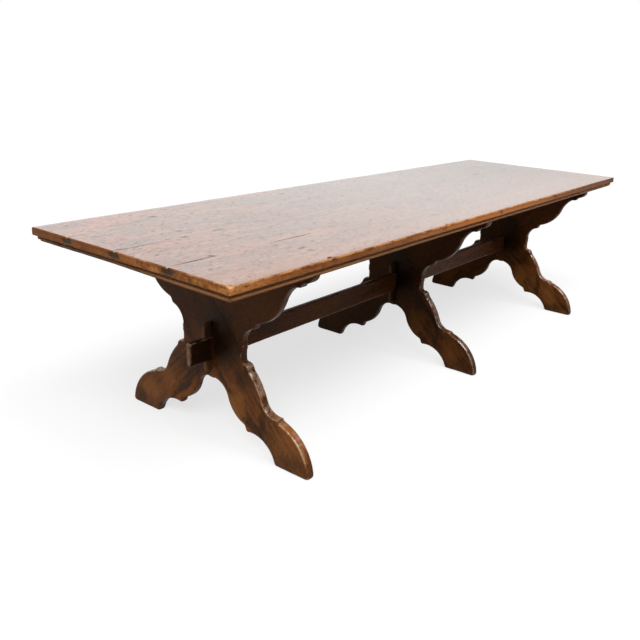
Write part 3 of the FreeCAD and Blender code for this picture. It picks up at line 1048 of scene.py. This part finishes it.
def slicedCopy(node, low, high, chips, age, longAxis):
    # small faces all over, with finer ones along the arrises and in the chips
    work = copyOfNode(node)
    flat = math.radians(age["flatAngle"])
    bmesh.ops.dissolve_limit(work, angle_limit=flat, verts=work.verts, edges=work.edges)
    for axis, step in ((longAxis, age["alongStep"]), (1 - longAxis, age["acrossStep"])):
        if not step:
            continue
        length = high[axis] - low[axis]
        count = max(1, round(length / step))
        for index in range(1, count):
            cutAcross(work, axis, low[axis] + length * index / count)
        for inset in age["arrisCuts"]:
            cutAcross(work, axis, low[axis] + inset)
            cutAcross(work, axis, high[axis] - inset)
    for level in age["levelCuts"]:
        cutAcross(work, 2, level)
    for chip in chips:
        for share in age["chipCuts"]:
            for axis in (0, 1):
                cutAcross(work, axis, chip[axis] + chip[3] * share)
    work.normal_update()
    return work


def chooseFinish(work, chips, sideIndex):
    # the wood inside a chip is bare, and a shut joint is polished over
    for face in work.faces:
        middle = face.calc_center_median()
        chipped = any((middle - Vector(chip[:3])).length < chip[3] for chip in chips)
        opening = seamOpening(middle)
        shut = opening is not None and opening <= seamLook["shut"]
        facing = seamLook["shutFacing"] if shut else seamLook["topFacing"]
        face.material_index = 0 if face.normal.z > facing and not chipped else sideIndex


def markAge(work, age):
    # leaves the wear, the painted highlight under the long arrises, the grime of the joints and the painted
    # shade in the quirk of the strip of each place for the finish, and fills the joints where they are shut
    wearAndSheenLayer = work.verts.layers.float.new("wearAndSheen")
    grimeAndShadeLayer = work.verts.layers.float.new("grimeAndShade")
    shadeLayer = work.verts.layers.float.new("shade")
    shiftLayer = work.verts.layers.float.new("grainShift")
    fullTurn = math.radians(age["arrisTurn"])
    fadeStart, fadeEnd = age["bandFade"]
    for vert in work.verts:
        x, y, z = vert.co
        convex = held(max(edge.calc_face_angle_signed(0.0) / fullTurn for edge in vert.link_edges))
        outside = abs(x) > age["outerX"] or abs(y) > age["outerY"]
        inSlot = age["slotLow"] < z < age["slotHigh"]
        wearAndSheen = convex if outside and not inSlot else 0.0
        # painted highlight under the long arrises, laid in as wear
        if abs(y) > age["bandY"] and z > age["bandLow"]:
            faded = held((x - fadeStart) / (fadeEnd - fadeStart))
            wearAndSheen = max(wearAndSheen, age["bandHighlight"]) * (1.0 - age["bandLoss"] * faded)
        grimeAndShade = 0.0
        # painted shade: the quirk under the planks is dark, the rest of the strip's top a little
        if z > age["quirkLow"]:
            recessed = abs(x) < age["quirkX"] and abs(y) < age["quirkY"]
            grimeAndShade = 1.0 if recessed else age["quirkShadeOutside"]
        if age["acrossStep"] and not outside:
            grimeAndShade = max(grimeAndShade, convex)
        opening = seamOpening(vert.co)
        if opening is not None:
            grimeAndShade *= opening
            wearAndSheen = 0.0
            vert.co.z += (seamLook["level"] - z) * (1.0 - opening)
        vert[wearAndSheenLayer] = wearAndSheen
        vert[grimeAndShadeLayer] = grimeAndShade
        vert[shadeLayer] = age["shade"]
        vert[shiftLayer] = age["grainShift"]


def hangingAt(spot, age):
    # how far the near front corner hangs, with the rounding of the long arrises
    along = (spot.x - age["cupX"]) / age["cupReach"]
    nearCorner = math.exp(-along * along)
    across = held((age["cupFrom"] - spot.y) / age["cupWidth"])
    sunk = age["cup"] * nearCorner * across * across
    if spot.z < age["sagBelow"]:
        across = held((age["sagFrom"] - spot.y) / age["sagWidth"])
        sunk += (age["drop"] + age["sag"] * nearCorner) * across
    arrisY, arrisZ = cadBounds[1][1], cadBounds[1][2]
    away = math.hypot(abs(spot.y) - arrisY, spot.z - arrisZ) / age["roundReach"]
    if away < 1.0:
        uneven = 1.0 + age["roundUneven"] * noise.noise(spot * age["roundScale"])
        sunk += age["roundDepth"] * (1.0 - away * away) * uneven
    return sunk


def chippedAt(spot, chip, age):
    x, y, z, reach, depth = chip
    away = min((spot - Vector((x, y, z))).length / reach, 1.0)
    inward = Vector((0.0, 0.0, -age["chipDown"]))
    if abs(x) > age["outerX"]:
        inward.x = -math.copysign(age["chipInward"], x)
    if abs(y) > age["outerY"]:
        inward.y = -math.copysign(age["chipInward"], y)
    return inward * depth * (1.0 - away * away)


def slicedPiece(node, finish, age, longAxis, sideFinish=None):
    low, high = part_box(node)
    margin = age["chipMargin"]
    chips = [chip for chip in age["chips"] if low[1] - margin < chip[1] < high[1] + margin]
    work = slicedCopy(node, low, high, chips, age, longAxis)
    chooseFinish(work, chips, 1 if sideFinish else 0)
    markAge(work, age)
    for vert in work.verts:
        vert.co.z -= hangingAt(vert.co, age)
        for chip in chips:
            vert.co += chippedAt(vert.co, chip, age)
        vert.co += noise.noise_vector(vert.co * age["waveScale"]) * age["wave"]
        vert.co += noise.noise_vector(vert.co * age["rippleScale"]) * age["ripple"]
    piece = addPiece("worn_" + node, work, node, finish)
    piece.data.set_sharp_from_angle(angle=math.radians(age["sharpAngle"]))
    if sideFinish:
        piece.data.materials.append(finishes[sideFinish])
    return piece


# shade and grain of each plank
plankTone = {
    "plank_front": (0.02, 0.0),
    "plank_front_middle": (0.0, 1.3),
    "plank_back_middle": (0.07, 2.6),
    "plank_back": (0.03, 3.9),
}
# the waves come out the same in every run
noise.seed_set(plankAge["waveSeed"])
for plank, (shade, shift) in plankTone.items():
    tone = {**plankAge, "shade": shade, "grainShift": shift}
    slicedPiece(plank, "topWood", tone, 0, "plankSideWood")
for side, longAxis in (("front", 0), ("back", 0), ("near", 1), ("far", 1)):
    slicedPiece("edge_moulding_" + side, "edgeWood", stripAge, longAxis)
print("top worn")

# hidden pieces keep their own shapes and only get a finish
hiddenFinish = {
    "tongue_front": "tongueWood",
    "tongue_middle": "tongueWood",
    "tongue_back": "tongueWood",
    "cross_batten_near": "battenWood",
    "cross_batten_middle": "battenWood",
    "cross_batten_far": "battenWood",
    "batten_nails": "nailIron",
    "locating_pegs": "pegWood",
}
for name, finish in hiddenFinish.items():
    for materialSlot in nodes[name].material_slots:
        materialSlot.material = finishes[finish]
print("hidden pieces finished")


def seenDirectly(tree):
    # 1 for what is seen straight on or in a reflection, 0 for light that falls on the table
    path = addNode(tree, "ShaderNodeLightPath", {})
    seen = calc(tree, "MAXIMUM", path.outputs["Is Camera Ray"], path.outputs["Is Glossy Ray"])
    return calc(tree, "MAXIMUM", seen, path.outputs["Is Transmission Ray"])


floorLook = {"half": 40.0, "drop": 0.0008, "bounce": 0.04, "shown": 0.3, "glow": 0.7}


def layFloor(look):
    work = bmesh.new()
    bmesh.ops.create_grid(work, x_segments=1, y_segments=1, size=look["half"])
    bmesh.ops.translate(work, vec=(0.0, 0.0, -look["drop"]), verts=work.verts)
    mesh = bpy.data.meshes.new("floor")
    work.to_mesh(mesh)
    work.free()
    floor = bpy.data.objects.new("floor", mesh)
    bpy.context.scene.collection.objects.link(floor)
    material = emptyMaterial("paleFloor")
    tree = material.node_tree
    seen = seenDirectly(tree)
    bounce = addNode(tree, "ShaderNodeBsdfDiffuse", {"Color": grey(look["bounce"])})
    shown = addNode(tree, "ShaderNodeBsdfDiffuse", {"Color": grey(look["shown"])})
    glow = addNode(tree, "ShaderNodeEmission", {"Color": grey(1.0), "Strength": look["glow"]})
    pale = addNode(tree, "ShaderNodeAddShader", {0: shown.outputs[0], 1: glow.outputs[0]})
    mix = addNode(tree, "ShaderNodeMixShader", {0: seen, 1: bounce.outputs[0], 2: pale.outputs[0]})
    addNode(tree, "ShaderNodeOutputMaterial", {"Surface": mix.outputs[0]})
    mesh.materials.append(material)


def directionFrom(azimuth, elevation):
    # degrees from the front of the table, less than 0 towards its near end
    around = math.radians(azimuth)
    up = math.radians(elevation)
    return Vector((math.sin(around) * math.cos(up), -math.cos(around) * math.cos(up), math.sin(up)))


lightLook = {
    "ambient": 0.12,
    "distance": 6.0,
    "lamps": (
        # name, azimuth, elevation, spread, strength
        ("overhead", -20.0, 78.0, 80.0, 0.2),
        ("frontSide", 0.0, 54.0, 30.0, 1.2),
        ("key", -52.0, 50.0, 36.0, 2.6),
    ),
}


def lightStudio(look):
    world = bpy.data.worlds.new("studio")
    bpy.context.scene.world = world
    world.use_nodes = True
    tree = world.node_tree
    tree.nodes.clear()
    level = look["ambient"]
    strength = calc(tree, "MULTIPLY_ADD", seenDirectly(tree), 1.0 - level, level)
    sky = addNode(tree, "ShaderNodeBackground", {"Color": grey(1.0), "Strength": strength})
    addNode(tree, "ShaderNodeOutputWorld", {"Surface": sky.outputs[0]})
    for name, azimuth, elevation, spread, power in look["lamps"]:
        lamp = bpy.data.lights.new(name, "SUN")
        lamp.energy = power
        lamp.angle = math.radians(spread)
        holder = bpy.data.objects.new(name, lamp)
        bpy.context.scene.collection.objects.link(holder)
        back = directionFrom(azimuth, elevation)
        holder.rotation_euler = back.to_track_quat("Z", "Y").to_euler()
        holder.location = back * look["distance"]


cameraLook = {
    "azimuth": -53.27,
    "elevation": 17.14,
    "roll": 2.49,
    "place": (-2.79695, -1.81641, 1.33262),
    "lens": 40.72,
    "sensor": 36.0,
    "shift": (-0.047, -0.05),
}


def standCamera(look):
    camera = bpy.data.cameras.new("camera")
    camera.sensor_width = look["sensor"]
    camera.lens = look["lens"]
    camera.shift_x, camera.shift_y = look["shift"]
    holder = bpy.data.objects.new("camera", camera)
    bpy.context.scene.collection.objects.link(holder)
    back = directionFrom(look["azimuth"], look["elevation"])
    right = Vector((0.0, 0.0, 1.0)).cross(back).normalized()
    upward = back.cross(right)
    roll = math.radians(look["roll"])
    tilted = right * math.cos(roll) + upward * math.sin(roll)
    upright = upward * math.cos(roll) - right * math.sin(roll)
    turn = Matrix((tilted, upright, back)).transposed().to_4x4()
    holder.matrix_world = Matrix.Translation(look["place"]) @ turn
    bpy.context.scene.camera = holder


layFloor(floorLook)
lightStudio(lightLook)
standCamera(cameraLook)
bpy.context.scene.view_settings.view_transform = "Standard"
print("studio set")
